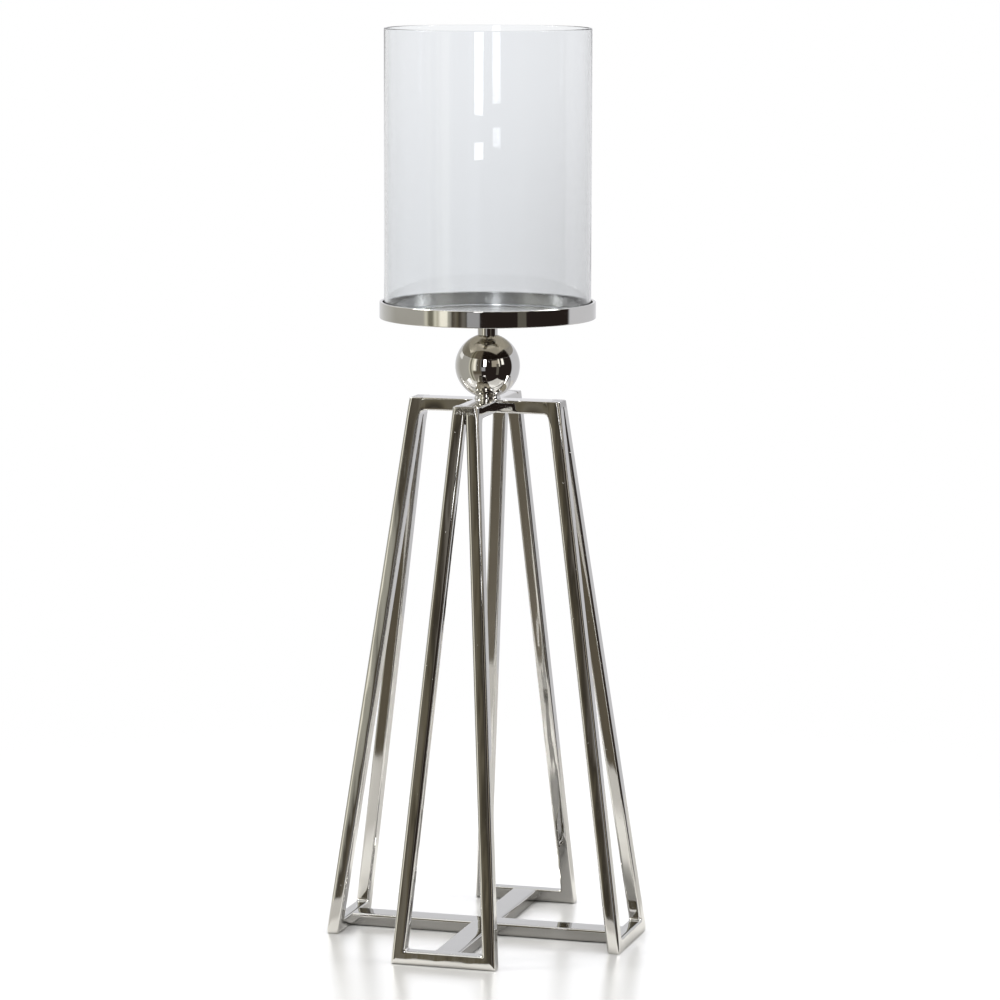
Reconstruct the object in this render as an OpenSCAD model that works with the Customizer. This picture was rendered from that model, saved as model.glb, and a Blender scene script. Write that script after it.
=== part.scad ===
// Candle lantern: a glass cylinder standing in a round tray, carried by a ball on a
// four-legged frame of square bar. The origin is the centre of the base on the floor, +Z is up,
// the front leg points to -Y and the right leg to +X.

/* [Frame] */
// Height of the four-legged frame
frame_h = 506.5; // [450:0.5:560]
// Distance from the centre line to the outer face of a leg at the floor
foot_reach = 143; // [120:0.5:160]
// Distance from the centre line to the outer face of a leg at the top
top_reach = 72.5; // [60:0.5:85]
// Side of the square bar that the legs are made of
bar = 12.5; // [10:0.5:13]
// Length of each foot bar on the floor
foot_len = 100; // [80:1:120]
// Width of the flat bars of both crosses
cross_w = 24.5; // [24:0.5:30]
// Thickness of the flat bars of both crosses
cross_t = 12; // [8:0.5:12.5]
// How far below the top the two uprights of a leg stay joined
crotch_drop = 6; // [5:1:24]
// Radius of the fillet under each outer end of the top cross
fillet_r = 6; // [2:0.5:8]

/* [Stem] */
// Diameter of the ball
ball_d = 60; // [50:1:70]
// Wall of the hollow ball
ball_wall = 2; // [1:0.5:3]
// Gap between the lowest point of the ball and the top of the frame
ball_gap = 0.5; // [0.5:0.1:2]
// Diameter of the collar at its foot
collar_d = 25; // [20:0.5:30]
// How much narrower the collar is where it meets the ball
collar_taper = 2; // [0:0.5:4]
// Diameter of the neck between ball and tray
neck_d = 18.5; // [14:0.5:24]
// Rise from the highest point of the ball to the underside of the tray
neck_rise = 14.4; // [8:0.1:24]
// Outer thread diameter of the stud that holds the stem together
stud_d = 8; // [6:1:10]

/* [Tray] */
// Outer diameter of the tray
tray_d = 200; // [196:1:220]
// Height of the tray's rim
rim_h = 15.6; // [10:0.1:25]
// Thickness of the tray's rim
rim_t = 3; // [2:0.25:3.5]
// Thickness of the tray's floor
floor_t = 2.5; // [1.5:0.5:4]
// Radius of the rounded edges of the rim
rim_edge_r = 0.9; // [0.3:0.1:0.9]

/* [Glass] */
// Outer diameter of the glass cylinder
glass_d = 191; // [150:0.5:191]
// Wall of the glass cylinder
glass_wall = 3; // [2.5:0.5:4]
// Height of the glass cylinder
glass_h = 264; // [200:1:300]
// Radius of the melted edges of the glass
glass_edge_r = 1.1; // [0.5:0.1:1.2]

/* [Hidden] */
$fn = 96;
FILLET_STEPS = 12;
THREAD_PLAY = 0.05;
HOLE_PLAY = 0.3;
SEAT_PLAY = 0.05;
STUD_INSET = 2;
STUD_CHAMFER = 1;
CUT = 1;

LEAN_SLOPE = (top_reach - foot_reach) / frame_h;
SPREAD_SLOPE = (cross_w - foot_len) / 2 / frame_h;
LEAN_STRETCH = sqrt(1 + LEAN_SLOPE * LEAN_SLOPE);
LEG_DEPTH = bar * LEAN_STRETCH;
LEG_WIDTH = bar * sqrt(1 + SPREAD_SLOPE * SPREAD_SLOPE);
CROSS_Z = frame_h - cross_t;
BALL_Z = frame_h + ball_gap + ball_d / 2;
TRAY_Z = BALL_Z + ball_d / 2 + neck_rise;
FLOOR_Z = TRAY_Z + floor_t;

RIGHT = 0;
REAR = 90;
LEFT = 180;
FRONT = 270;

// Distance from the centre line to the outer and inner face of a leg at height z
function leg_outer(z) = foot_reach + LEAN_SLOPE * z;
function leg_inner(z) = leg_outer(z) - LEG_DEPTH;

// Half the width over both uprights of a leg at height z, and half the gap between them
function half_over(z) = foot_len / 2 + SPREAD_SLOPE * z;
function half_gap(z) = max(0, half_over(z) - LEG_WIDTH);

// Turns a shape drawn for a leg that points to +X towards another side
module towards(side) {
    rotate([0, 0, side])
        children();
}

// Extrudes an outline drawn in radius and height, centred across the leg
module side_view(width) {
    rotate([90, 0, 0])
        linear_extrude(height = width, center = true)
            children();
}

// Extrudes an outline drawn across the leg and in height, from the centre line outwards
module front_view() {
    rotate([90, 0, 90])
        linear_extrude(height = foot_reach + CUT)
            children();
}

// The leaning slab that a whole leg is cut from
module leg_slab() {
    side_view(foot_len + 2 * CUT)
        polygon([
            [leg_inner(0), 0],
            [leg_outer(0), 0],
            [leg_outer(frame_h), frame_h],
            [leg_inner(frame_h), frame_h]
        ]);
}

// One slanted upright, mitred at the foot; hand is 1 for the right one and -1 for the left one, seen from outside
module upright(side, hand) {
    crotch_z = frame_h - crotch_drop;
    color("gainsboro")
        towards(side)
            intersection() {
                leg_slab();
                front_view()
                    polygon([
                        [hand * half_over(0), 0],
                        [hand * half_over(frame_h), frame_h],
                        [0, frame_h],
                        [0, crotch_z],
                        [hand * half_gap(crotch_z), crotch_z],
                        [hand * half_gap(bar), bar]
                    ]);
            }
}

// The bar on the floor between the two uprights of a leg, mitred to them at both ends
module foot_bar(side) {
    color("gainsboro")
        towards(side)
            intersection() {
                leg_slab();
                front_view()
                    polygon([
                        [-half_over(0), 0],
                        [half_over(0), 0],
                        [half_gap(bar), bar],
                        [-half_gap(bar), bar]
                    ]);
            }
}

// Points of the rounded corner between the underside of the top cross and a leg
function fillet_points() =
    let (
        centre_r = leg_inner(CROSS_Z) - fillet_r * (LEAN_STRETCH + LEAN_SLOPE),
        centre_z = CROSS_Z - fillet_r,
        last = atan(-LEAN_SLOPE)
    )
    [for (i = [0 : FILLET_STEPS])
        let (turn = 90 + (last - 90) * i / FILLET_STEPS)
        [centre_r + fillet_r * cos(turn), centre_z + fillet_r * sin(turn)]];

// Side outline of the outer end of a top cross bar, and of a base cross bar, from below upwards
function top_end() = concat(fillet_points(), [[leg_inner(frame_h), frame_h]]);
function base_end() = [[leg_inner(0), 0], [leg_inner(cross_t), cross_t]];

// The same outline on the other side of the centre line, from above downwards
function mirrored(points) = [for (i = [len(points) - 1 : -1 : 0]) [-points[i][0], points[i][1]]];

// A flat bar from one side of the frame to the other
module through_bar(end) {
    side_view(cross_w)
        polygon(concat(end, mirrored(end)));
}

// A flat bar from the flank of the through bar to one side of the frame
module half_bar(side, end) {
    low = end[0][1];
    high = end[len(end) - 1][1];
    towards(side)
        side_view(cross_w)
            polygon(concat([[cross_w / 2, low]], end, [[cross_w / 2, high]]));
}

// The flat bar that runs right through the base cross
module base_bar() {
    color("gainsboro")
        through_bar(base_end());
}

// A half bar of the base cross
module base_arm(side) {
    color("gainsboro")
        half_bar(side, base_end());
}

// The flat bar that runs right through the top cross, tapped in the middle for the stud
module top_bar() {
    color("gainsboro")
        difference() {
            through_bar(top_end());
            translate([0, 0, CROSS_Z - CUT])
                cylinder(d = stud_d + 2 * THREAD_PLAY, h = cross_t + 2 * CUT);
        }
}

// A half bar of the top cross
module top_arm(side) {
    color("gainsboro")
        half_bar(side, top_end());
}

// The stud from the top cross through collar and ball into the neck
module stud() {
    low = CROSS_Z + STUD_INSET;
    high = TRAY_Z - STUD_INSET - CUT;
    root_d = stud_d - 2 * STUD_CHAMFER;
    color("darkgray")
        translate([0, 0, low]) {
            cylinder(d1 = root_d, d2 = stud_d, h = STUD_CHAMFER);
            translate([0, 0, STUD_CHAMFER])
                cylinder(d = stud_d, h = high - low - 2 * STUD_CHAMFER);
            translate([0, 0, high - low - STUD_CHAMFER])
                cylinder(d1 = stud_d, d2 = root_d, h = STUD_CHAMFER);
        }
}

// The space that the ball takes, for the seats that it sits in
module ball_space() {
    translate([0, 0, BALL_Z])
        sphere(d = ball_d + 2 * SEAT_PLAY);
}

// The flared ring that the ball sits in
module collar() {
    top_r = collar_d / 2 - collar_taper / 2;
    height = BALL_Z - frame_h - sqrt(pow(ball_d / 2, 2) - pow(top_r, 2));
    color("silver")
        difference() {
            translate([0, 0, frame_h])
                cylinder(d1 = collar_d, d2 = collar_d - collar_taper, h = height);
            ball_space();
            translate([0, 0, frame_h - CUT])
                cylinder(d = stud_d + 2 * HOLE_PLAY, h = height + 2 * CUT);
        }
}

// The hollow ball, drilled through for the stud
module ball() {
    color("silver")
        translate([0, 0, BALL_Z])
            difference() {
                sphere(d = ball_d);
                sphere(d = ball_d - 2 * ball_wall);
                cylinder(d = stud_d + 2 * HOLE_PLAY, h = ball_d + CUT, center = true);
            }
}

// The turned neck under the tray, with a blind threaded hole from below
module neck() {
    bore_top = TRAY_Z - STUD_INSET;
    color("silver")
        difference() {
            translate([0, 0, BALL_Z])
                cylinder(d = neck_d, h = TRAY_Z - BALL_Z);
            ball_space();
            translate([0, 0, BALL_Z])
                cylinder(d = stud_d + 2 * THREAD_PLAY, h = bore_top - BALL_Z);
        }
}

// The round plate that the candle and the glass stand on
module tray_floor() {
    color("silver")
        translate([0, 0, TRAY_Z])
            cylinder(r = tray_d / 2 - rim_t, h = floor_t, $fn = 180);
}

// A rectangle with rounded corners, its lower left corner at the origin
module soft_rect(width, height, r) {
    translate([r, 0])
        square([width - 2 * r, height]);
    translate([0, r])
        square([width, height - 2 * r]);
    for (x = [r, width - r], y = [r, height - r])
        translate([x, y])
            circle(r = r, $fn = 48);
}

// The flat band bent into a ring round the tray's floor
module tray_rim() {
    color("silver")
        translate([0, 0, TRAY_Z])
            rotate_extrude($fn = 180)
                translate([tray_d / 2 - rim_t, 0])
                    soft_rect(rim_t, rim_h, rim_edge_r);
}

// The open-ended glass, standing loose on the tray's floor
module glass_cylinder() {
    color("lightcyan", 0.35)
        translate([0, 0, FLOOR_Z])
            rotate_extrude($fn = 180)
                translate([glass_d / 2 - glass_wall, 0])
                    soft_rect(glass_wall, glass_h, glass_edge_r);
}

upright(FRONT, -1);  // front_upright_left
upright(FRONT, 1);  // front_upright_right
foot_bar(FRONT);  // front_foot_bar
upright(RIGHT, -1);  // right_upright_left
upright(RIGHT, 1);  // right_upright_right
foot_bar(RIGHT);  // right_foot_bar
upright(REAR, -1);  // rear_upright_left
upright(REAR, 1);  // rear_upright_right
foot_bar(REAR);  // rear_foot_bar
upright(LEFT, -1);  // left_upright_left
upright(LEFT, 1);  // left_upright_right
foot_bar(LEFT);  // left_foot_bar
base_bar();
base_arm(FRONT);  // base_arm_front
base_arm(REAR);  // base_arm_rear
top_bar();
top_arm(FRONT);  // top_arm_front
top_arm(REAR);  // top_arm_rear
stud();
collar();
ball();
neck();
tray_floor();
tray_rim();
glass_cylinder();
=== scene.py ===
import math

import bmesh
import bpy
from mathutils import Matrix, Vector


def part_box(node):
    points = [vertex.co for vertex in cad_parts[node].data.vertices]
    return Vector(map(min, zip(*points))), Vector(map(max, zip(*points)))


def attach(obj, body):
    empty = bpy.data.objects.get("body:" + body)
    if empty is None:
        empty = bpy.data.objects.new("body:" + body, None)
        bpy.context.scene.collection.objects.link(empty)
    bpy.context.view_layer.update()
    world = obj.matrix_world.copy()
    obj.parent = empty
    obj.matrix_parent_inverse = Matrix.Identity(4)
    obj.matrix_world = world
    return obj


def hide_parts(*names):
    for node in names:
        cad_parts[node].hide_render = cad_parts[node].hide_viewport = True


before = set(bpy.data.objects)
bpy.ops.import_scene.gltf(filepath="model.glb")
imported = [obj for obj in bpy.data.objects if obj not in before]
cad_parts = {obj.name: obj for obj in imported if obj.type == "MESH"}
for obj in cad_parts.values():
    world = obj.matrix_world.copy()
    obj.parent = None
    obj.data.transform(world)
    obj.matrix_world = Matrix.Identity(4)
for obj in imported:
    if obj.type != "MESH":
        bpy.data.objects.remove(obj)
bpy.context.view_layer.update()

# A candle lantern in polished nickel: a glass cylinder in a round tray, on a ball, on a
# four-legged frame of square bar. Metres, the front leg towards -Y, +Z up.

MM = 0.001
SEAM_ANGLE = math.radians(35)

# Direction in which each leg points, turned from +X
SIDES = {"right": 0, "rear": 90, "left": 180, "front": 270}


# ---------------------------------------------------------------- sizes from the frame

def reach(corner):
    """Distance from the centre line to a corner of a front piece, along the front leg."""
    return -corner.y


FOOT_LOW, FOOT_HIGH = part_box("front_foot_bar")
POST_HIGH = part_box("front_upright_left")[1]
TOP_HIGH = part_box("top_bar")[1]
BASE_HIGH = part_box("base_bar")[1]
COLLAR_LOW, COLLAR_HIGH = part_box("collar")
BALL_LOW, BALL_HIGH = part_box("ball")
NECK_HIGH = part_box("neck")[1]
PLATE_LOW, PLATE_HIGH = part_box("tray_floor")
RIM_LOW, RIM_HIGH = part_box("tray_rim")
GLASS_LOW, GLASS_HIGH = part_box("glass_cylinder")
STUD_LOW, STUD_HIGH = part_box("stud")

FRAME_H = POST_HIGH.z
BAR = FOOT_HIGH.z
FOOT_REACH = reach(FOOT_LOW)
FOOT_HALF = FOOT_HIGH.x
CROSS_HALF = TOP_HIGH.y
BASE_T = BASE_HIGH.z

# The leg's faces lean in one plane each, so two corners of its boxes give depth and lean
BAR_SHARE = BAR / FRAME_H
LEG_DEPTH = (
    FOOT_REACH - reach(FOOT_HIGH) + BAR_SHARE * (reach(POST_HIGH) - FOOT_REACH)
) / (1 - BAR_SHARE)
LEAN = (reach(POST_HIGH) + LEG_DEPTH - FOOT_REACH) / FRAME_H
SPREAD = (CROSS_HALF - FOOT_HALF) / FRAME_H
LEG_WIDTH = BAR * math.hypot(1, SPREAD)

# Details that the boxes don't give
CROTCH_Z = FRAME_H - 6 * MM
CROSS_T = 12 * MM
FILLET_R = 6 * MM
BAR_EDGE_R = 1.8 * MM
CROWN = 0.22 * MM
OUTER_BEND_R = 1.2 * MM
INNER_BEND_R = 2.5 * MM
INTO_LEG = 3 * MM
WELD_PROUD = 0.02 * MM
# The legs' outer faces are worn back below SOLE_HEIGHT, along part of an ellipse that is
# SOLE_INSET deep. Deeper in the bar than SOLE_FADE nothing is worn.
SOLE_HEIGHT = 8 * MM
SOLE_INSET = 0.7 * MM
SOLE_FADE = 2 * MM
# Height over which the edges turn sharp where the top cross is welded on
FLUSH_LOW, FLUSH_HIGH = FRAME_H - 21 * MM, FRAME_H - 15 * MM
# Length over which a top cross bar widens to the leg
FLARE = 24 * MM
# Facets ground on the outer corners of the welded tops: width, length and how fast they widen.
# Across the top they end within GROUND_ACROSS of the corner.
GROUND_ACROSS = 4 * MM
GROUND = {
    ("right", -1): (2.7 * MM, 42 * MM, 0.40),
    ("right", 1): (2.0 * MM, 30 * MM, 0.60),
    ("left", 1): (2.3 * MM, 34 * MM, 0.60),
    ("left", -1): (2.0 * MM, 30 * MM, 0.60),
    ("front", -1): (2.3 * MM, 22 * MM, 1.10),
    ("front", 1): (3.0 * MM, 26 * MM, 1.30),
    ("rear", -1): (2.2 * MM, 25 * MM, 0.80),
    ("rear", 1): (2.4 * MM, 28 * MM, 0.80),
}
# Slight twist of the uprights: degrees, and share of the height where it peaks
TWIST = {
    ("right", -1): (0.7, 0.45),
    ("right", 1): (-1.2, 0.40),
    ("left", 1): (-3.5, 0.52),
    ("left", -1): (-2.2, 0.50),
    ("front", -1): (2.8, 0.84),
    ("front", 1): (0.25, 0.45),
    ("rear", -1): (-0.3, 0.60),
    ("rear", 1): (-0.5, 0.55),
}


def leg_outer(z):
    return FOOT_REACH + LEAN * z


def leg_inner(z):
    return leg_outer(z) - LEG_DEPTH


def half_over(z):
    return FOOT_HALF + SPREAD * z


def half_gap(z):
    return half_over(z) - LEG_WIDTH


# ---------------------------------------------------------------- outlines

def lerp(a, b, share):
    return a + (b - a) * share


def clamp(value):
    return min(1.0, max(0.0, value))


def between(start, end, count):
    """count points strictly between two points of an outline."""
    return [lerp(start, end, i / (count + 1)) for i in range(1, count + 1)]


def bend(corner, before, after, radius, steps):
    """Arc that rounds a corner, from the side of the point before to that of the point after."""
    towards_a = (before - corner).normalized()
    towards_b = (after - corner).normalized()
    half = towards_a.angle(towards_b) / 2
    bisector = (towards_a + towards_b).normalized()
    centre = corner + bisector * (radius / math.sin(half))
    sweep = math.pi - 2 * half
    side = (towards_a - bisector * towards_a.dot(bisector)).normalized()
    arc = []
    for i in range(steps + 1):
        turn = sweep * (0.5 - i / steps)
        arc.append(centre - bisector * radius * math.cos(turn) + side * radius * math.sin(turn))
    return arc


def rounded(points, radius, steps=5):
    """Closed outline with every corner rounded."""
    outline = []
    for i, corner in enumerate(points):
        after = points[(i + 1) % len(points)]
        outline += bend(corner, points[i - 1], after, radius, steps)
    return outline


EDGE_STEPS = 4
FACE_POINTS = 11
# Radius that is left where an edge turns sharp, and how nearly flat a facet is ground
SHARP_R = 0.04 * MM
FACET_FLATNESS = 0.96


def bar_section(thickness, width, far_share=1.0, ground=0.0):
    """Section of a polished bar as (share of the thickness, distance across) pairs.

    Its faces fall away towards rounded edges. far_share shrinks both on the far side of the
    width, where another bar is welded on flush. ground cuts a facet on the first corner.
    """
    facet = clamp(ground / BAR_EDGE_R - 1)
    far_r = max(SHARP_R, BAR_EDGE_R * far_share)
    near_corners = [Vector((0, 0)), Vector((thickness, 0))]
    far_corners = [Vector((thickness, width)), Vector((0, width))]
    corners = near_corners + far_corners
    radii = [max(BAR_EDGE_R, ground), BAR_EDGE_R, far_r, far_r]
    arcs = [
        bend(corner, corners[i - 1], corners[(i + 1) % 4], radii[i], EDGE_STEPS)
        for i, corner in enumerate(corners)
    ]
    cut = [lerp(arcs[0][0], arcs[0][-1], i / EDGE_STEPS) for i in range(EDGE_STEPS + 1)]
    arcs[0] = [lerp(p, q, FACET_FLATNESS * facet) for p, q in zip(arcs[0], cut)]
    section = []
    for i, arc in enumerate(arcs):
        section += arc + between(arc[-1], arcs[(i + 1) % 4][0], FACE_POINTS)
    middle = Vector((thickness / 2, width / 2))
    crowned = []
    for p in section:
        u = (p.x - middle.x) / middle.x
        v = (p.y - middle.y) / middle.y
        strength = CROWN * (far_share if v > 0 else 1.0)
        inward_x = strength * abs(v) ** 4 * u
        inward_y = strength * abs(u) ** 4 * v
        crowned.append(((p.x - inward_x) / thickness, p.y - inward_y))
    return crowned


# ---------------------------------------------------------------- mesh building

def finish_mesh(name, bm, node, material, body="stand"):
    """Turns a bmesh into a piece that stands for a CAD node."""
    bmesh.ops.recalc_face_normals(bm, faces=bm.faces)
    for face in bm.faces:
        face.smooth = True
    for edge in bm.edges:
        if len(edge.link_faces) == 2 and edge.calc_face_angle() > SEAM_ANGLE:
            edge.smooth = False
    mesh = bpy.data.meshes.new(name)
    bm.to_mesh(mesh)
    bm.free()
    piece = bpy.data.objects.new(name, mesh)
    bpy.context.scene.collection.objects.link(piece)
    mesh.materials.append(material)
    normals = piece.modifiers.new("flat faces stay flat", "WEIGHTED_NORMAL")
    normals.keep_sharp = True
    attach(piece, body)
    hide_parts(node)
    return piece


def skin(rings):
    """Closed skin over a row of rings with flat ends."""
    bm = bmesh.new()
    loops = [[bm.verts.new(p) for p in ring] for ring in rings]
    for low, high in zip(loops, loops[1:]):
        for i in range(len(low)):
            j = (i + 1) % len(low)
            bm.faces.new((low[i], low[j], high[j], high[i]))
    bm.faces.new(loops[0])
    bm.faces.new(loops[-1])
    return bm


def lathe(outline, sides, closed=True):
    """Turns an outline of (radius, height) about the centre line; open ones start and end on it."""
    bm = bmesh.new()
    columns = []
    for point in outline:
        if point.x < 1e-7:
            columns.append([bm.verts.new((0, 0, point.y))])
            continue
        ring = []
        for i in range(sides):
            angle = 2 * math.pi * i / sides
            x, y = point.x * math.cos(angle), point.x * math.sin(angle)
            ring.append(bm.verts.new((x, y, point.y)))
        columns.append(ring)
    pairs = list(zip(columns, columns[1:]))
    if closed:
        pairs.append((columns[-1], columns[0]))
    for a, b in pairs:
        for i in range(sides):
            j = (i + 1) % sides
            corners = [a[i % len(a)], a[j % len(a)], b[j % len(b)], b[i % len(b)]]
            bm.faces.new(list(dict.fromkeys(corners)))
    return bm


# ---------------------------------------------------------------- node graphs

class Graph:
    """Short calls for building a node tree."""

    def __init__(self, tree):
        self.tree = tree
        tree.nodes.clear()

    def node(self, kind, inputs=None, **settings):
        made = self.tree.nodes.new(kind)
        for name, value in settings.items():
            setattr(made, name, value)
        for name, value in (inputs or {}).items():
            self.put(made.inputs[name], value)
        return made

    def put(self, socket, value):
        if isinstance(value, bpy.types.NodeSocket):
            self.tree.links.new(value, socket)
        else:
            socket.default_value = value

    def math(self, operation, first, second=0.0):
        return self.node("ShaderNodeMath", {0: first, 1: second}, operation=operation).outputs[0]

    def split(self, vector):
        """The X, Y and Z of a vector, as outputs by name."""
        return self.node("ShaderNodeSeparateXYZ", {0: vector}).outputs

    def length(self, vector):
        made = self.node("ShaderNodeVectorMath", {0: vector}, operation="LENGTH")
        return made.outputs["Value"]

    def ramp(self, value, low, high, to_low=0.0, to_high=1.0):
        """Smooth step from low to high."""
        limits = {"From Min": low, "From Max": high, "To Min": to_low, "To Max": to_high}
        made = self.node(
            "ShaderNodeMapRange", {"Value": value, **limits}, interpolation_type="SMOOTHSTEP"
        )
        return made.outputs["Result"]

    def blend(self, factor, first, second):
        """Number that goes from first to second as the factor goes from 0 to 1."""
        limits = {"To Min": first, "To Max": second}
        return self.node("ShaderNodeMapRange", {"Value": factor, **limits}).outputs["Result"]

    def mix(self, factor, first, second):
        """Colour that goes from first to second as the factor goes from 0 to 1."""
        made = self.node("ShaderNodeMix", data_type="RGBA")
        self.put(made.inputs[0], factor)
        self.put(made.inputs[6], first)
        self.put(made.inputs[7], second)
        return made.outputs[2]

    def noise(self, coordinates, scale, detail=3.0, stretch=(1, 1, 1)):
        spread = self.node("ShaderNodeMapping", {"Vector": coordinates, "Scale": stretch})
        made = self.node(
            "ShaderNodeTexNoise",
            {"Vector": spread.outputs[0], "Scale": scale, "Detail": detail},
        )
        return made.outputs["Fac"]

    def bump(self, height, distance, under=None):
        """Adds relief of that height in metres, on top of another bump."""
        relief = {"Height": height, "Strength": 1.0, "Distance": distance}
        if under is not None:
            relief["Normal"] = under
        return self.node("ShaderNodeBump", relief).outputs["Normal"]


def new_material(name):
    material = bpy.data.materials.new(name)
    material.use_nodes = True
    graph = Graph(material.node_tree)
    place = graph.node("ShaderNodeTexCoord").outputs["Object"]
    return material, graph, place


def surface(graph, shader):
    graph.node("ShaderNodeOutputMaterial", {"Surface": shader.outputs[0]})


def metal_surface(graph, colour, rough, relief):
    shader = graph.node(
        "ShaderNodeBsdfPrincipled",
        {"Base Color": colour, "Metallic": 1.0, "Roughness": rough, "Normal": relief},
    )
    surface(graph, shader)


# ---------------------------------------------------------------- materials

NICKEL_BRIGHT = (0.80, 0.79, 0.772, 1)
NICKEL_DULL = (0.72, 0.708, 0.685, 1)
# Painted shade: the darker, browner underside of the tray's plate
NICKEL_SHADED_UNDER = (0.47, 0.44, 0.37, 1)
NICKEL_WELD = (0.36, 0.345, 0.33, 1)
# Grey that the nickel turns towards on what faces up near the floor
NICKEL_GREYED_LOW = (0.50, 0.50, 0.49, 1)
# Painted light: the top of the tray's plate, lighter than the other nickel
PLATE_LIT_BRIGHT = (0.95, 0.95, 0.94, 1)
PLATE_LIT_DULL = (0.88, 0.88, 0.865, 1)
ZINC_BRIGHT = (0.60, 0.62, 0.64, 1)
ZINC_YELLOWED = (0.52, 0.50, 0.42, 1)
GLASS_CLEAREST = (0.872, 0.888, 0.905, 1)
GLASS_CLOUDIEST = (0.842, 0.853, 0.868, 1)
# Painted shade on the glass's right side, and painted light towards its top
GLASS_SHADED_RIGHT = (0.77, 0.775, 0.785, 1)
GLASS_LIT_TOP = (0.955, 0.965, 0.98, 1)

# Roughness of polished nickel, which varies with its grain, and what marks add to it
POLISHED, GRAINY = 0.025, 0.05
SMUDGED, WELDED, BRUSHED = 0.04, 0.05, 0.07
# Roughness of the tray's plate on top, and how much smoother it is underneath
SATIN_LOW, SATIN_HIGH = 0.46, 0.54
SMOOTHER_UNDER = 0.40
# Depth of the marks in polished nickel
SLOW_WAVES, GRAIN, PITS, WELD_MOTTLE = 0.35 * MM, 0.002 * MM, 0.05 * MM, 0.22 * MM
# Upward faces are greyer below the first of these heights and plain above the second
GREYING_TOP, GREYING_END = BAR + 4 * MM, BAR + 8 * MM
GREYING_COVER = 0.75
# The mottled weld fades out between these distances from the seams, and starts in a ragged line
WELD_NEAR, WELD_FAR = 7 * MM, 11 * MM
WELD_RAGGED, WELD_FADE = 6 * MM, 3 * MM
WELD_COVER = 0.7


def radius_of(graph, place):
    """Distance from the centre line."""
    level = graph.node("ShaderNodeVectorMath", {0: place, 1: (1, 1, 0)}, operation="MULTIPLY")
    return graph.length(level.outputs[0])


def grey_low_tops(graph, height):
    """How much greyer the nickel is: only on what faces up, close to the floor."""
    facing = graph.node("ShaderNodeTexCoord").outputs["Normal"]
    facing_up = graph.ramp(graph.split(facing)["Z"], 0.7, 0.95)
    greyer_share = graph.math("MULTIPLY", facing_up, graph.ramp(height, GREYING_END, GREYING_TOP))
    return graph.math("MULTIPLY", greyer_share, GREYING_COVER)


def weld_mask(graph, parts, mottle, start):
    """1 above start, close to the planes in which the leg's uprights meet."""
    ragged = graph.math("ADD", parts["Z"], graph.math("MULTIPLY", mottle, WELD_RAGGED))
    above = graph.ramp(ragged, start, start + WELD_FADE)
    from_x = graph.math("ABSOLUTE", parts["X"])
    from_y = graph.math("ABSOLUTE", parts["Y"])
    near_seam = graph.ramp(graph.math("MINIMUM", from_x, from_y), WELD_FAR, WELD_NEAR)
    return graph.math("MULTIPLY", above, near_seam)


def nickel(name, wave_scale, wave_depth, stretch=(1, 1, 1), weld_above=None, satin_within=None):
    """Polished nickel plate: polishing waves, smudges, pits, and a greyer tone on what faces up
    near the floor.

    Above weld_above it is mottled by the weld. Metal nearer to the centre line than
    satin_within is only brushed.
    """
    material, graph, place = new_material(name)
    parts = graph.split(place)
    cloud = graph.noise(place, 14.0, 4.0)
    smudge = graph.ramp(graph.noise(place, 26.0, 5.0), 0.52, 0.72)
    grain = graph.noise(place, 420.0, 2.0)
    colour = graph.mix(graph.ramp(cloud, 0.3, 0.75), NICKEL_BRIGHT, NICKEL_DULL)
    # Greyer on what faces up close to the floor
    colour = graph.mix(grey_low_tops(graph, parts["Z"]), colour, NICKEL_GREYED_LOW)
    rough = graph.ramp(grain, 0.2, 0.8, POLISHED, GRAINY)
    rough = graph.math("ADD", rough, graph.math("MULTIPLY", smudge, SMUDGED))
    relief = graph.bump(graph.noise(place, wave_scale, 1.5, stretch), wave_depth)
    relief = graph.bump(graph.noise(place, 11.0, 1.0), SLOW_WAVES, relief)
    relief = graph.bump(grain, GRAIN, relief)
    pits = graph.ramp(graph.noise(place, 310.0, 1.0), 0.775, 0.80)
    relief = graph.bump(pits, -PITS, relief)
    if weld_above is not None:
        mottle = graph.noise(place, 700.0, 2.5)
        weld = weld_mask(graph, parts, mottle, weld_above)
        relief = graph.bump(graph.math("MULTIPLY", mottle, weld), WELD_MOTTLE, relief)
        colour = graph.mix(graph.math("MULTIPLY", weld, WELD_COVER), colour, NICKEL_WELD)
        rough = graph.math("ADD", rough, graph.math("MULTIPLY", weld, WELDED))
    if satin_within is not None:
        brushed = graph.ramp(radius_of(graph, place), satin_within, satin_within - 1 * MM)
        rough = graph.math("ADD", rough, graph.math("MULTIPLY", brushed, BRUSHED))
    metal_surface(graph, colour, rough, relief)
    return material


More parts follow.
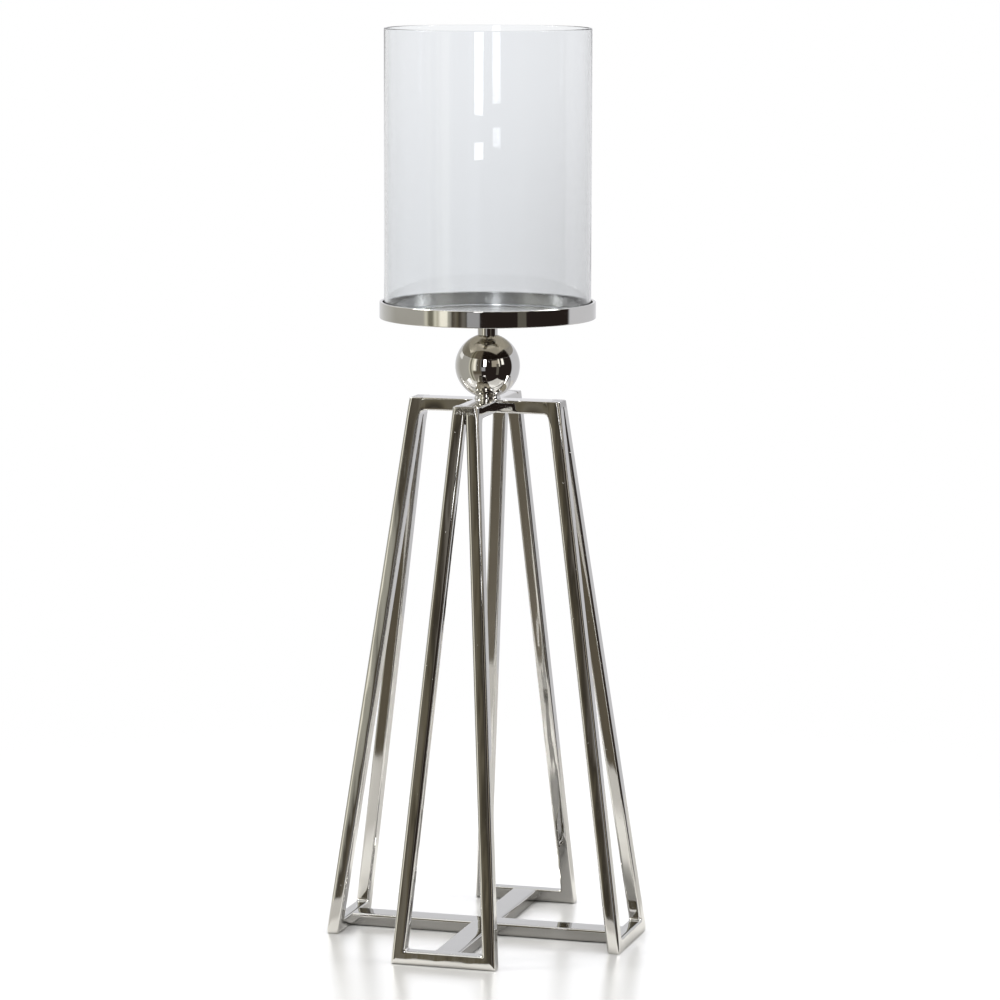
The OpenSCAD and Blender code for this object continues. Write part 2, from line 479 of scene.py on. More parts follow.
def turned_nickel(name):
    """The tray's plate: satin on top with the faint rings of turning, polished underneath. Its top
    is painted lighter than the other nickel as painted light, and its underside darker and browner
    as painted shade.
    """
    material, graph, place = new_material(name)
    height = graph.split(place)["Z"]
    along = graph.node("ShaderNodeCombineXYZ", {"X": radius_of(graph, place), "Z": height})
    rings = graph.noise(along.outputs[0], 900.0, 3.0)
    cloud = graph.noise(place, 22.0, 4.0)
    # Painted light: the plate's top is lighter than the other nickel
    colour = graph.mix(graph.ramp(cloud, 0.3, 0.75), PLATE_LIT_BRIGHT, PLATE_LIT_DULL)
    under = graph.ramp(height, PLATE_HIGH.z - 1 * MM, PLATE_LOW.z + 1 * MM)
    # Painted shade: the plate's underside is darker and browner
    colour = graph.mix(under, colour, NICKEL_SHADED_UNDER)
    rough = graph.ramp(cloud, 0.3, 0.75, SATIN_LOW, SATIN_HIGH)
    rough = graph.math("SUBTRACT", rough, graph.math("MULTIPLY", under, SMOOTHER_UNDER))
    relief = graph.bump(graph.noise(place, 20.0, 1.5), 0.12 * MM)
    relief = graph.bump(rings, 0.003 * MM, relief)
    metal_surface(graph, colour, rough, relief)
    return material


def zinc(name):
    """Zinc-plated steel of the hidden stud: duller, with a cloudy passivated tint."""
    material, graph, place = new_material(name)
    cloud = graph.noise(place, 160.0, 4.0)
    colour = graph.mix(cloud, ZINC_BRIGHT, ZINC_YELLOWED)
    rough = graph.ramp(cloud, 0.2, 0.8, 0.22, 0.4)
    relief = graph.bump(graph.noise(place, 2400.0, 2.0), 0.01 * MM)
    metal_surface(graph, colour, rough, relief)
    return material


def clear_glass(name):
    """Blown clear glass with slow upright waves and a random tint, painted darker on the right as
    painted shade and lighter towards the top as painted light.
    """
    material, graph, place = new_material(name)
    parts = graph.split(place)
    tint = graph.mix(graph.noise(place, 9.0, 2.0), GLASS_CLEAREST, GLASS_CLOUDIEST)
    # Painted shade: the glass darker towards the right
    rightward = graph.ramp(parts["X"], -10 * MM, GLASS_HIGH.x, 0.0, 0.85)
    tint = graph.mix(rightward, tint, GLASS_SHADED_RIGHT)
    # Painted light: the glass lighter towards the top
    upward = graph.ramp(parts["Z"], GLASS_LOW.z, GLASS_HIGH.z, 0.0, 0.7)
    tint = graph.mix(upward, tint, GLASS_LIT_TOP)
    relief = graph.bump(graph.noise(place, 20.0, 1.5, (1, 1, 0.35)), 0.4 * MM)
    shader = graph.node(
        "ShaderNodeBsdfPrincipled",
        {"Base Color": tint, "Roughness": 0.0, "Normal": relief},
    )
    shader.inputs["IOR"].default_value = 1.5
    shader.inputs["Transmission Weight"].default_value = 1.0
    surface(graph, shader)
    return material


# ---------------------------------------------------------------- bars

def on_side(side, out, across, z):
    """Place of a point that lies so far out and across on one side of the lantern."""
    turn = math.radians(SIDES[side])
    x = out * math.cos(turn) - across * math.sin(turn)
    y = out * math.sin(turn) + across * math.cos(turn)
    return x, y, z


def run(start, end, count):
    """Stations on the straight stretch between two stations."""
    return list(zip(between(start[0], end[0], count), between(start[1], end[1], count)))


def mirrored(stations):
    """The same stations on the other side of the centre line, from the far end."""
    return [(Vector((-a.x, a.y)), Vector((-b.x, b.y))) for a, b in reversed(stations)]


# ---------------------------------------------------------------- legs

BEND_STEPS = 4
SEAM_POINTS = 5
UPRIGHT_STATIONS = 60
FOOT_STATIONS = 30
# The worn line's two waves: height, and how many radians per metre
SLOW_WAVE, SLOW_RATE = 0.9 * MM, 190
QUICK_WAVE, QUICK_RATE = 0.5 * MM, 430
# Share of the ellipse that is used: below 1, so that the worn face meets the floor at a slope
SOLE_ROUNDNESS = 0.9
# Below 1, so that a twist comes in soon above the foot and stays
TWIST_BREADTH = 0.6


def foot_bends():
    """Matching points round the outer and inner lower corner, from the foot bar to the upright."""
    outer = bend(
        Vector((half_over(0), 0)), Vector((0, 0)), Vector((half_over(FRAME_H), FRAME_H)),
        OUTER_BEND_R, 2 * BEND_STEPS,
    )
    inner = bend(
        Vector((half_gap(BAR), BAR)), Vector((0, BAR)), Vector((half_gap(CROTCH_Z), CROTCH_Z)),
        INNER_BEND_R, 2 * BEND_STEPS,
    )
    return list(zip(outer, inner))


def top_bends():
    """Matching points from the upright, round its top corner, to the seam with its twin."""
    corner = Vector((half_over(FRAME_H), FRAME_H))
    centre = Vector((0, FRAME_H))
    outer = bend(corner, Vector((half_over(0), 0)), centre, OUTER_BEND_R, 2 * BEND_STEPS)
    outer += between(outer[-1], centre, SEAM_POINTS) + [centre]
    crotch_r = half_gap(CROTCH_Z) / (1 + SPREAD)
    inner = []
    for i in range(len(outer)):
        turn = math.pi / 2 * i / (len(outer) - 1)
        drop = crotch_r * (1 - math.sin(turn))
        inner.append(Vector((crotch_r * math.cos(turn), CROTCH_Z - drop)))
    return list(zip(outer, inner))


def sole(z, across):
    """How far polishing has worn back the leg's outer face near the floor, up to a wavy line."""
    slow_wave = SLOW_WAVE * math.sin(SLOW_RATE * across)
    quick_wave = QUICK_WAVE * math.sin(QUICK_RATE * across + 1)
    height = SOLE_HEIGHT + slow_wave + quick_wave
    if z >= height:
        return 0.0
    share = (height - max(z, 0)) / height
    return SOLE_INSET * (1 - math.sqrt(1 - SOLE_ROUNDNESS * share * share))


def ground_width(outer, side, hand):
    """Width of the facet on an upright's outer corner, at a point of its outer outline."""
    size, length, power = GROUND[side, hand]
    share = clamp(1 - (FRAME_H - outer.y) / length)
    in_reach = clamp(1 - (half_over(FRAME_H) - outer.x) / GROUND_ACROSS)
    return size * share ** power * in_reach


def twist_at(z, side, hand):
    """Angle by which an upright is twisted at a height; none at its welded ends."""
    degrees, peak = TWIST[side, hand]
    share = clamp(z / FRAME_H)
    swell = math.sin(math.pi * share ** (math.log(0.5) / math.log(peak)))
    return math.radians(degrees) * max(0.0, swell) ** TWIST_BREADTH


def leg_ring(station, side, hand=1, is_upright=False):
    """Ring of a leg's square bar at a station of its outline."""
    outer, inner = station
    ring = []
    sharpness = clamp((outer.y - FLUSH_LOW) / (FLUSH_HIGH - FLUSH_LOW))
    middle = lerp(outer, inner, 0.5)
    ground = ground_width(outer, side, hand) if is_upright else 0.0
    twist = twist_at((outer.y + inner.y) / 2, side, hand) if is_upright else 0.0
    for share, depth in bar_section(BAR, LEG_DEPTH, 1 - sharpness, ground):
        point = lerp(outer, inner, share)
        across = hand * point.x
        worn = max(0.0, sole(point.y, across) * (1 - depth / SOLE_FADE))
        aside = across - hand * middle.x
        beyond = LEG_DEPTH / 2 - depth - worn
        out = leg_outer(point.y) - LEG_DEPTH / 2
        out += beyond * math.cos(twist) - aside * math.sin(twist)
        across = hand * middle.x + beyond * math.sin(twist) + aside * math.cos(twist)
        ring.append(on_side(side, out, across, point.y))
    return ring


def upright(side, hand, material):
    foot, top = foot_bends(), top_bends()
    stations = foot[BEND_STEPS:] + run(foot[-1], top[0], UPRIGHT_STATIONS) + top
    node = f"{side}_upright_{'right' if hand > 0 else 'left'}"
    rings = [leg_ring(station, side, hand, is_upright=True) for station in stations]
    return finish_mesh(node + "_bar", skin(rings), node, material)


def foot_bar(side, material):
    half = foot_bends()[BEND_STEPS::-1]
    mirror = mirrored(half)
    stations = half + run(half[-1], mirror[0], FOOT_STATIONS) + mirror
    rings = [leg_ring(station, side) for station in stations]
    node = f"{side}_foot_bar"
    return finish_mesh(node + "_bar", skin(rings), node, material)


# ---------------------------------------------------------------- crosses

def cross_ring(station, side, thickness):
    """Ring of a flat bar of a cross at a station of its side outline."""
    low, high = station
    ring = []
    flare = 0.0
    is_top_cross = high.y > BASE_T
    if is_top_cross:
        to_leg = leg_inner(high.y) - abs(high.x)
        near = clamp(1 - to_leg / FLARE)
        flare = near * near * (3 - 2 * near)
    for share, width in bar_section(thickness, 2 * CROSS_HALF):
        point = lerp(low, high, share)
        across = (width - CROSS_HALF) * lerp(1, half_over(point.y) / CROSS_HALF, flare)
        ring.append(on_side(side, point.x, across, point.y))
    return ring


FILLET_STEPS = 12
THROUGH_STATIONS = 40
HALF_STATIONS = 20


def top_end():
    """Stations of a top cross bar from its straight part, down the fillet, into the leg."""
    under = FRAME_H - CROSS_T
    stretch = math.hypot(1, LEAN)
    centre = Vector((leg_inner(under) - FILLET_R * (stretch + LEAN), under - FILLET_R))
    first, last = math.pi / 2, math.atan(-LEAN)
    low, high = [], []
    for i in range(FILLET_STEPS + 1):
        turn = lerp(first, last, i / FILLET_STEPS)
        low.append(centre + FILLET_R * Vector((math.cos(turn), math.sin(turn))))
        x = lerp(centre.x, leg_inner(FRAME_H), i / FILLET_STEPS)
        high.append(Vector((x, FRAME_H + WELD_PROUD)))
    low.append(low[-1] + Vector((INTO_LEG, 0)))
    high.append(high[-1] + Vector((INTO_LEG, 0)))
    return list(zip(low, high))


def base_end():
    """End stations of a base cross bar, a little way into the foot bar."""
    into = Vector((INTO_LEG, 0))
    low, high = Vector((leg_inner(0), 0)), Vector((leg_inner(BASE_T), BASE_T))
    return [(low, high), (low + into, high + into)]


def through_bar(node, end, thickness, material):
    start = mirrored(end)
    stations = start + run(start[-1], end[0], THROUGH_STATIONS) + end
    rings = [cross_ring(station, "right", thickness) for station in stations]
    return finish_mesh(node + "_bar", skin(rings), node, material)


def half_bar(node, side, end, thickness, material):
    """A half bar, which starts a little way inside the through bar."""
    at = CROSS_HALF - INTO_LEG
    start = (Vector((at, end[0][0].y)), Vector((at, end[0][1].y)))
    stations = [start] + run(start, end[0], HALF_STATIONS) + end
    rings = [cross_ring(station, side, thickness) for station in stations]
    return finish_mesh(node + "_bar", skin(rings), node, material)


# ---------------------------------------------------------------- stem

BALL_R = BALL_HIGH.x
BALL_Z = (BALL_LOW.z + BALL_HIGH.z) / 2
BALL_WALL = 2 * MM
HOLE_R = 4.3 * MM
SEAT_R = BALL_R + 0.05 * MM
COLLAR_TOP_R = COLLAR_HIGH.x - 1 * MM
TURNED_EDGE_R = 0.4 * MM
NECK_BORE_R = 4.05 * MM
NECK_BORE_TOP = NECK_HIGH.z - 2 * MM
# How finely the turned pieces are cut, round and along
BALL_SIDES, STEM_SIDES = 192, 128
BALL_STEPS, HOLLOW_STEPS, TURNED_STEPS = 96, 32, 5


def seat(from_r, to_r, above, steps=10):
    """Points on the ball's seat, from one radius to another."""
    points = []
    for i in range(steps + 1):
        r = lerp(from_r, to_r, i / steps)
        rise = math.sqrt(SEAT_R * SEAT_R - r * r)
        points.append(Vector((r, BALL_Z + (rise if above else -rise))))
    return points


def ball(material):
    def arc(radius, steps):
        start = math.asin(HOLE_R / radius)
        turns = [lerp(start, math.pi - start, i / steps) for i in range(steps + 1)]
        return [Vector((radius * math.sin(t), BALL_Z + radius * math.cos(t))) for t in turns]

    hollow = arc(BALL_R - BALL_WALL, HOLLOW_STEPS)
    outline = arc(BALL_R, BALL_STEPS) + list(reversed(hollow))
    bm = lathe(outline, BALL_SIDES)
    return finish_mesh("ball_shell", bm, "ball", material)


def collar(material):
    foot = Vector((COLLAR_HIGH.x, COLLAR_LOW.z))
    bore = Vector((HOLE_R, COLLAR_LOW.z))
    lip = Vector((COLLAR_TOP_R, BALL_Z - math.sqrt(SEAT_R ** 2 - COLLAR_TOP_R ** 2)))
    seat_points = seat(COLLAR_TOP_R - TURNED_EDGE_R, HOLE_R, above=False)
    outline = bend(foot, bore, lip, TURNED_EDGE_R, TURNED_STEPS)
    outline += bend(lip, foot, seat_points[1], TURNED_EDGE_R / 2, TURNED_STEPS)
    outline += seat_points[1:] + [bore]
    bm = lathe(outline, STEM_SIDES)
    return finish_mesh("collar_ring", bm, "collar", material)


def neck(material):
    radius = NECK_HIGH.x
    seat_points = seat(radius - TURNED_EDGE_R, NECK_BORE_R, above=True)
    lower = Vector((radius, BALL_Z + math.sqrt(SEAT_R ** 2 - radius ** 2)))
    upper = Vector((radius, NECK_HIGH.z))
    outline = [Vector((0, NECK_HIGH.z))]
    outline += bend(upper, outline[0], lower, TURNED_EDGE_R, TURNED_STEPS)
    outline += bend(lower, upper, seat_points[1], TURNED_EDGE_R / 2, TURNED_STEPS)
    outline += seat_points[1:]
    outline += [Vector((NECK_BORE_R, NECK_BORE_TOP)), Vector((0, NECK_BORE_TOP))]
    bm = lathe(outline, STEM_SIDES, closed=False)
    return finish_mesh("neck_turning", bm, "neck", material)


THREAD_PITCH = 1.25 * MM
THREAD_DEPTH = 0.6 * MM
STEPS_PER_PITCH = 8
THREAD_SIDES = 32


def stud(material):
    """Threaded rod: the ring's radius follows the thread as it winds up."""
    count = round((STUD_HIGH.z - STUD_LOW.z) / THREAD_PITCH * STEPS_PER_PITCH)
    rings = []
    for i in range(count + 1):
        z = lerp(STUD_LOW.z, STUD_HIGH.z, i / count)
        fade = min(1.0, min(i, count - i) / STEPS_PER_PITCH)
        ring = []
        for k in range(THREAD_SIDES):
            wind = ((z - STUD_LOW.z) / THREAD_PITCH - k / THREAD_SIDES) % 1
            radius = STUD_HIGH.x - THREAD_DEPTH * (1 - abs(2 * wind - 1) * fade)
            angle = 2 * math.pi * k / THREAD_SIDES
            ring.append((radius * math.cos(angle), radius * math.sin(angle), z))
        rings.append(ring)
    return finish_mesh("stud_thread", skin(rings), "stud", material)


# ---------------------------------------------------------------- tray and glass

RIM_EDGE_R = 0.9 * MM
GLASS_EDGE_R = 1.1 * MM
GLASS_WALL = 3 * MM
PLATE_STEPS = 12
ROUND_SIDES = 256


def ring_outline(inner, outer, low, high, radius):
    """Outline of a band round the centre line, with rounded edges."""
    corners = [(inner, low), (outer, low), (outer, high), (inner, high)]
    return rounded([Vector(corner) for corner in corners], radius)


def tray_rim(material):
    outline = ring_outline(PLATE_HIGH.x, RIM_HIGH.x, RIM_LOW.z, RIM_HIGH.z, RIM_EDGE_R)
    bm = lathe(outline, ROUND_SIDES)
    return finish_mesh("tray_rim_band", bm, "tray_rim", material)


def tray_floor(material):
    radii = [PLATE_HIGH.x * i / PLATE_STEPS for i in range(PLATE_STEPS + 1)]
    top = [Vector((radius, PLATE_HIGH.z)) for radius in radii]
    under = [Vector((radius, PLATE_LOW.z)) for radius in reversed(radii)]
    bm = lathe(top + under, ROUND_SIDES, closed=False)
    return finish_mesh("tray_floor_plate", bm, "tray_floor", material)


def glass_cylinder(material):
    outer = GLASS_HIGH.x
    outline = ring_outline(outer - GLASS_WALL, outer, GLASS_LOW.z, GLASS_HIGH.z, GLASS_EDGE_R)
    bm = lathe(outline, ROUND_SIDES)
    return finish_mesh("glass_tube", bm, "glass_cylinder", material, body="glass")


# ---------------------------------------------------------------- studio

# Compass direction that the camera stands in, from -Y towards +X
CAMERA_TURN = math.radians(16.39)
CAMERA_DISTANCE = 3.9236
CAMERA_HEIGHT = 0.9727
CAMERA_PITCH = math.radians(8.143)
CAMERA_PAN = math.radians(-0.171)
CAMERA_ROLL = math.radians(0.113)
LENS_MM = 153.49
SENSOR_MM = 36

WHITE = (1.0, 1.0, 1.0, 1)
DARK_ROOM = (0.022, 0.016, 0.014, 1)
CREAM = (1.05, 1.02, 0.88, 1)
BEIGE = (0.42, 0.41, 0.37, 1)
OLIVE = (0.20, 0.19, 0.145, 1)
BROWN = (0.100, 0.086, 0.064, 1)
PALE_GREY = (0.63, 0.63, 0.65, 1)
BACKDROP = (0.83, 0.83, 0.86, 1)
FAR_FLOOR = (0.115, 0.098, 0.070, 1)
NEAR_FLOOR = (0.26, 0.235, 0.195, 1)
CEILING = (1.2, 1.2, 1.19, 1)
OVERHEAD = (0.80, 0.80, 0.80, 1)
# On the camera's side of the lantern the ceiling starts this many degrees higher
CEILING_RISE = 16.0

# Colour of the room round the horizon: direction in degrees from the camera's, and colour
ROOM = [
    (-180, BACKDROP),
    (-150, (0.66, 0.66, 0.65, 1)),
    (-115, BEIGE),
    (-72, BEIGE),
    (-68, (0.72, 0.70, 0.58, 1)),
    (-65, OLIVE),
    (-60, OLIVE),
    (-57, (0.80, 0.78, 0.64, 1)),
    (-54, (0.45, 0.43, 0.34, 1)),
    (-51, CREAM),
    (-43.2, CREAM),
    (-42.5, (0.42, 0.41, 0.35, 1)),
    (-39.5, (0.36, 0.35, 0.30, 1)),
    (-38.5, (0.06, 0.052, 0.040, 1)),
    (-36, BROWN),
    (-34, (0.165, 0.150, 0.120, 1)),
    (-32.3, (0.135, 0.118, 0.082, 1)),
    (-30.2, (0.046, 0.040, 0.030, 1)),
    (-29, (0.050, 0.042, 0.032, 1)),
    (-26.5, (0.17, 0.155, 0.135, 1)),
    (-24, (0.15, 0.14, 0.12, 1)),
    (-21, DARK_ROOM),
    (95, DARK_ROOM),
    (98, PALE_GREY),
    (150, PALE_GREY),
    (180, BACKDROP),
]

# Windows and cards: centre and half size across, centre and half size up, in degrees, colour.
# Each covers the ones before it, and fades out over CARD_SOFTNESS.
CARD_SOFTNESS = 1.5
CARDS = [
    (6, 2, 31, 2, (1.6, 1.6, 1.5, 1)),
    (29, 13, 12, 10, (0.38, 0.34, 0.27, 1)),
    (42.5, 2, 15, 13, (0.95, 0.90, 0.78, 1)),
    (57, 4, 19, 12, (1.3, 1.25, 1.15, 1)),
    (81, 6, 38, 12, (18.0, 18.0, 17.6, 1)),
    (-88, 5, 38, 12, (18.0, 18.0, 17.6, 1)),
    (-122, 12, 22, 10, (0.95, 0.95, 0.92, 1)),
    (37, 4, -8, 18, (0.12, 0.11, 0.09, 1)),
    (-15, 6, -7, 6, (0.36, 0.36, 0.37, 1)),
]


def card_mask(graph, value, centre, half):
    """1 within half of centre, fading out beyond."""
    away = graph.math("ABSOLUTE", graph.math("SUBTRACT", value, centre))
    return graph.ramp(away, half + CARD_SOFTNESS, half)


def seen_directly(graph):
    """1 for what the eye sees straight or through the glass, 0 for what a mirror shows."""
    path = graph.node("ShaderNodeLightPath").outputs
    bounces = graph.math("ADD", path["Glossy Depth"], path["Diffuse Depth"])
    unbounced = graph.math("LESS_THAN", bounces, 0.5)
    through = graph.math("MULTIPLY", path["Is Transmission Ray"], unbounced)
    return graph.math("MAXIMUM", path["Is Camera Ray"], through)


def seen_through(graph):
    """Like seen_directly, and also 1 through the glass after one mirror."""
    path = graph.node("ShaderNodeLightPath").outputs
    bounces = graph.math("ADD", path["Glossy Depth"], path["Diffuse Depth"])
    few = graph.math("LESS_THAN", bounces, 1.5)
    once = graph.math("MULTIPLY", few, path["Is Transmission Ray"])
    once = graph.math("MULTIPLY", once, graph.math("LESS_THAN", path["Diffuse Depth"], 0.5))
    return graph.math("MAXIMUM", seen_directly(graph), once)


def camera_frame():
    """Level directions from the lantern to the camera and to the camera's right."""
    heading = CAMERA_TURN + CAMERA_PAN
    to_camera = Vector((math.sin(heading), -math.cos(heading), 0))
    to_right = Vector((math.cos(heading), math.sin(heading), 0))
    return to_camera, to_right


def sky_angles(graph):
    """Direction of a ray in degrees: round from the camera's direction, and up."""
    direction = graph.node("ShaderNodeTexCoord").outputs["Generated"]

    def along(axis):
        pair = {0: direction, 1: axis}
        return graph.node("ShaderNodeVectorMath", pair, operation="DOT_PRODUCT").outputs["Value"]

    to_camera, to_right = camera_frame()
    azimuth = graph.math("ARCTAN2", along(to_right), along(to_camera))
    elevation = graph.math("ARCSINE", along(Vector((0, 0, 1))))
    return graph.math("DEGREES", azimuth), graph.math("DEGREES", elevation)


def room_walls(graph, azimuth):
    share = graph.math("DIVIDE", graph.math("ADD", azimuth, 180.0), 360.0)
    room = graph.node("ShaderNodeValToRGB", {"Fac": share})
    stops = room.color_ramp.elements
    while len(stops) < len(ROOM):
        stops.new(1.0)
    for stop, (degrees, colour) in zip(stops, ROOM):
        stop.position = (degrees + 180) / 360
        stop.color = colour
    return room.outputs["Color"]


def room_ceiling(graph, azimuth, elevation, walls):
    shaded = graph.ramp(graph.math("ABSOLUTE", azimuth), 110.0, 75.0)
    raised = graph.math("MULTIPLY", shaded, CEILING_RISE)
    from_edge = graph.math("SUBTRACT", elevation, raised)
    colour = graph.mix(graph.ramp(from_edge, 34.0, 48.0), walls, CEILING)
    return graph.mix(graph.ramp(elevation, 64.0, 74.0), colour, OVERHEAD)


def room_floor(graph, azimuth, elevation, colour):
    """The room's floor, left of the camera, beyond the white sheet."""
    tone = graph.mix(graph.ramp(elevation, -20.0, -31.0), FAR_FLOOR, NEAR_FLOOR)
    right_end, left_end = graph.ramp(azimuth, -21.0, -26.0), graph.ramp(azimuth, -62.0, -50.0)
    in_front = graph.math("MULTIPLY", right_end, left_end)
    mask = graph.math("MULTIPLY", graph.ramp(elevation, -9.0, -16.0), in_front)
    return graph.mix(mask, colour, tone)


def make_world():
    """White seen directly and through the glass; mirrors see a dim room with windows."""
    world = bpy.data.worlds.new("studio")
    bpy.context.scene.world = world
    world.use_nodes = True
    graph = Graph(world.node_tree)
    azimuth, elevation = sky_angles(graph)
    colour = room_walls(graph, azimuth)
    colour = room_ceiling(graph, azimuth, elevation, colour)
    colour = room_floor(graph, azimuth, elevation, colour)
    for across, half_across, up, half_up, tone in CARDS:
        within_across = card_mask(graph, azimuth, across, half_across)
        within_up = card_mask(graph, elevation, up, half_up)
        colour = graph.mix(graph.math("MULTIPLY", within_across, within_up), colour, tone)
    colour = graph.mix(seen_through(graph), colour, WHITE)
    background = graph.node("ShaderNodeBackground", {"Color": colour, "Strength": 1.0})
    graph.node("ShaderNodeOutputWorld", {"Surface": background.outputs[0]})


def stage_object(name, bm, material):
    """Turns a bmesh into something that belongs to the studio."""
    mesh = bpy.data.meshes.new(name)
    bm.to_mesh(mesh)
    bm.free()
    made = bpy.data.objects.new(name, mesh)
    bpy.context.scene.collection.objects.link(made)
    mesh.materials.append(material)
    return made


# Seen directly, the floor is solid up to FLOOR_SOLID_R and gone at FLOOR_GONE_R
FLOOR_R = 1.1
FLOOR_SOLID_R = 0.45
FLOOR_GONE_R = 0.97 * FLOOR_R
FLOOR_ROUGHNESS = 0.27
FLOOR_SHINE = 0.70
MIRRORED_SHINE = 0.12
PAPER = (0.90, 0.90, 0.90, 1)
# The paper as the mirrors see it, with painted light and shade: a painted shadow under the frame,
# lighter paper just outside the feet, and dimmer paper further out
SHADOWED_UNDER_PAPER = (0.20, 0.197, 0.190, 1)
LIT_NEAR_PAPER = (0.56, 0.552, 0.530, 1)
DIM_FAR_PAPER = (0.37, 0.362, 0.345, 1)
NEAR_FROM, NEAR_WHOLE = 0.12, 0.17
FAR_FROM, FAR_WHOLE = 0.23, 0.30
# The mirrors also see the edges of the sheet of paper
SHEET_LEFT, SHEET_RIGHT, SHEET_FRONT = -0.75, 0.60, -0.40
SHEET_SOFTNESS = 0.03


def off_sheet(graph, place):
    """1 where the mirrors see no paper."""
    parts = graph.split(place)
    from_left = graph.ramp(parts["X"], SHEET_LEFT, SHEET_LEFT + SHEET_SOFTNESS)
    from_right = graph.ramp(parts["X"], SHEET_RIGHT, SHEET_RIGHT - SHEET_SOFTNESS)
    from_front = graph.ramp(parts["Y"], SHEET_FRONT, SHEET_FRONT + SHEET_SOFTNESS)
    on_sheet = graph.math("MULTIPLY", graph.math("MULTIPLY", from_left, from_right), from_front)
    return graph.math("SUBTRACT", 1.0, on_sheet)


def floor_material():
    """Glossy white paper that fades out into the backdrop; duller paper to the mirrors, with a
    painted shadow under the frame and painted shade further out.
    """
    material, graph, place = new_material("pale_floor")
    direct = seen_directly(graph)
    radius = graph.length(place)
    is_near = graph.ramp(radius, NEAR_FROM, NEAR_WHOLE)
    is_far = graph.ramp(radius, FAR_FROM, FAR_WHOLE)
    # Painted light and shade that only the mirrors see: a painted shadow under the frame, lighter
    # paper outside the feet, dimmer paper further out
    painted_mirror_paper = graph.mix(is_near, SHADOWED_UNDER_PAPER, LIT_NEAR_PAPER)
    painted_mirror_paper = graph.mix(is_far, painted_mirror_paper, DIM_FAR_PAPER)
    matt = graph.node("ShaderNodeBsdfDiffuse", {"Color": graph.mix(direct, painted_mirror_paper, PAPER)})
    shine = graph.node("ShaderNodeBsdfGlossy", {"Color": WHITE, "Roughness": FLOOR_ROUGHNESS})
    gloss = graph.blend(direct, MIRRORED_SHINE, FLOOR_SHINE)
    paper = graph.node("ShaderNodeMixShader", {0: gloss, 1: matt.outputs[0], 2: shine.outputs[0]})
    faded = graph.ramp(radius, FLOOR_SOLID_R, FLOOR_GONE_R)
    clearness = graph.blend(direct, off_sheet(graph, place), faded)
    clear = graph.node("ShaderNodeBsdfTransparent")
    parts = {0: clearness, 1: paper.outputs[0], 2: clear.outputs[0]}
    surface(graph, graph.node("ShaderNodeMixShader", parts))
    return material


def make_floor():
    bm = bmesh.new()
    bmesh.ops.create_circle(bm, cap_ends=True, segments=128, radius=FLOOR_R)
    stage_object("floor", bm, floor_material())


WINDOW_DISTANCE = 2.06
WINDOW_TURN = math.radians(-9.8)
WINDOW_HALF = 0.17
# Height of the lower and upper edge of each pane
PANES = [(0.606, 0.633), (0.670, 1.75)]
WINDOW_GLOW = 4.7


def window_material():
    material, graph, _ = new_material("window_light")
    glow = graph.node("ShaderNodeEmission", {"Color": WHITE, "Strength": WINDOW_GLOW})
    clear = graph.node("ShaderNodeBsdfTransparent")
    parts = {0: seen_directly(graph), 1: glow.outputs[0], 2: clear.outputs[0]}
    surface(graph, graph.node("ShaderNodeMixShader", parts))
    return material


def make_window():
    """The window that the glass and the metal mirror; nothing but a mirror shows it."""
    turned = Matrix.Rotation(WINDOW_TURN, 4, "Z")
    to_camera, to_right = camera_frame()
    centre = turned @ to_camera * WINDOW_DISTANCE
    across = turned @ to_right * WINDOW_HALF
    bm = bmesh.new()
    for low, high in PANES:
        corners = []
        for side, z in ((-1, low), (1, low), (1, high), (-1, high)):
            corners.append(bm.verts.new(centre + across * side + Vector((0, 0, z))))
        bm.faces.new(corners)
    window = stage_object("window", bm, window_material())
    window.visible_diffuse = False
    window.visible_shadow = False


LIGHT_HEIGHT = 2.6
LIGHT_SIZE = 3.2
LIGHT_WATTS = 80.0


def make_light():
    """One large softbox above, which lights the floor; mirrors see the room instead."""
    lamp = bpy.data.lights.new("softbox", "AREA")
    lamp.shape = "SQUARE"
    lamp.size = LIGHT_SIZE
    lamp.energy = LIGHT_WATTS
    light = bpy.data.objects.new("softbox", lamp)
    light.location = (0, 0, LIGHT_HEIGHT)
    light.visible_glossy = False
    light.visible_camera = False
    light.visible_transmission = False
    bpy.context.scene.collection.objects.link(light)


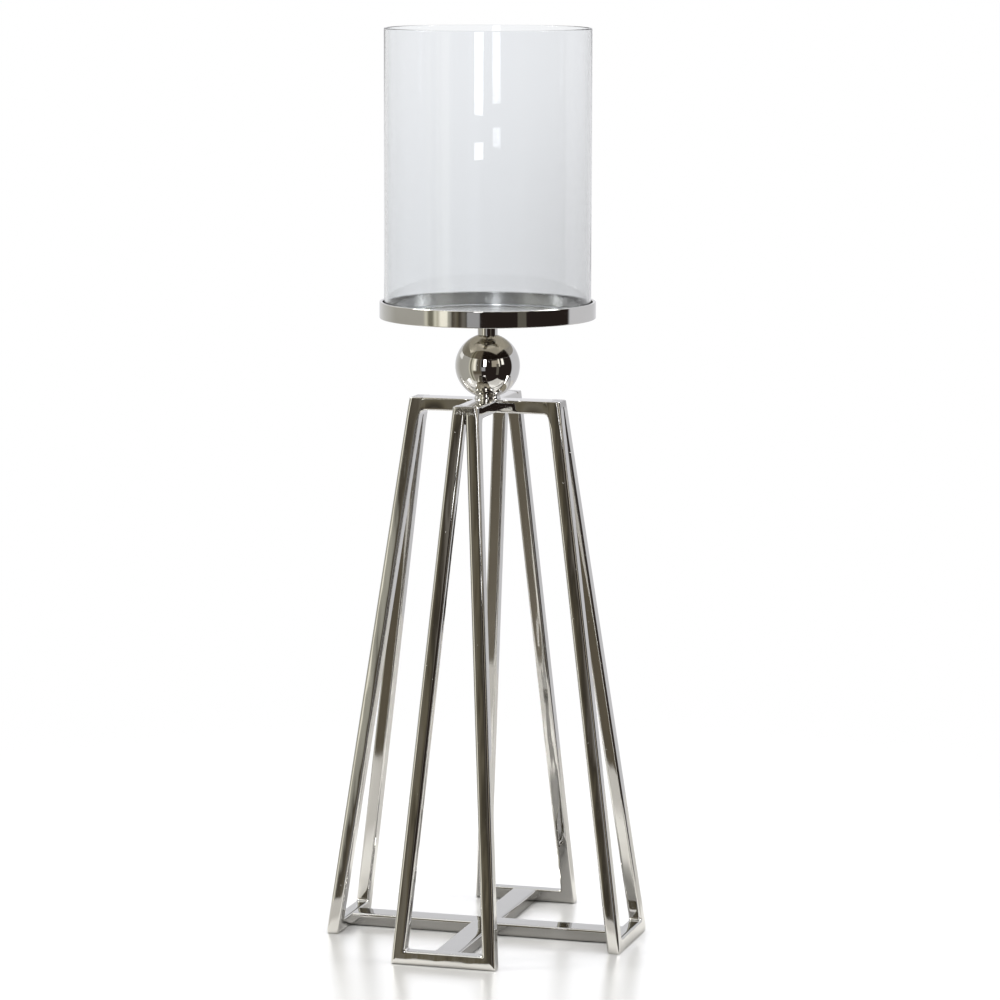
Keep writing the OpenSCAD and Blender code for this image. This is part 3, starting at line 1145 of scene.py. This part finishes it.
def make_camera():
    to_camera, right = camera_frame()
    forward = -to_camera * math.cos(CAMERA_PITCH) - Vector((0, 0, math.sin(CAMERA_PITCH)))
    up = right.cross(forward)
    tilted_right = math.cos(CAMERA_ROLL) * right + math.sin(CAMERA_ROLL) * up
    tilted_up = math.cos(CAMERA_ROLL) * up - math.sin(CAMERA_ROLL) * right
    lens = bpy.data.cameras.new("camera")
    lens.lens = LENS_MM
    lens.sensor_width = SENSOR_MM
    lens.clip_start, lens.clip_end = 0.1, 50
    camera = bpy.data.objects.new("camera", lens)
    turn = Matrix((tilted_right, tilted_up, -forward)).transposed()
    place = Vector((
        CAMERA_DISTANCE * math.sin(CAMERA_TURN),
        -CAMERA_DISTANCE * math.cos(CAMERA_TURN),
        CAMERA_HEIGHT,
    ))
    camera.matrix_world = Matrix.Translation(place) @ turn.to_4x4()
    bpy.context.scene.collection.objects.link(camera)
    bpy.context.scene.camera = camera


# ---------------------------------------------------------------- the lantern

def build():
    leg_nickel = nickel("leg_nickel", 75.0, 0.26 * MM, (1, 1, 0.09), FRAME_H - 4.5 * MM)
    cross_nickel = nickel("cross_nickel", 30.0, 0.10 * MM)
    stem_nickel = nickel("stem_nickel", 30.0, 0.03 * MM)
    rim_nickel = nickel("rim_nickel", 24.0, 0.06 * MM, satin_within=RIM_HIGH.x - 1.5 * MM)
    plate_nickel = turned_nickel("plate_nickel")
    for side in SIDES:
        upright(side, -1, leg_nickel)
        upright(side, 1, leg_nickel)
        foot_bar(side, leg_nickel)
    through_bar("base_bar", base_end(), BASE_T, cross_nickel)
    through_bar("top_bar", top_end(), CROSS_T, cross_nickel)
    for side in ("front", "rear"):
        half_bar(f"base_arm_{side}", side, base_end(), BASE_T, cross_nickel)
        half_bar(f"top_arm_{side}", side, top_end(), CROSS_T, cross_nickel)
    collar(stem_nickel)
    ball(stem_nickel)
    neck(stem_nickel)
    stud(zinc("zinc_steel"))
    tray_floor(plate_nickel)
    tray_rim(rim_nickel)
    glass_cylinder(clear_glass("clear_glass"))


build()
make_world()
make_floor()
make_window()
make_light()
make_camera()
bpy.context.scene.view_settings.view_transform = "Standard"
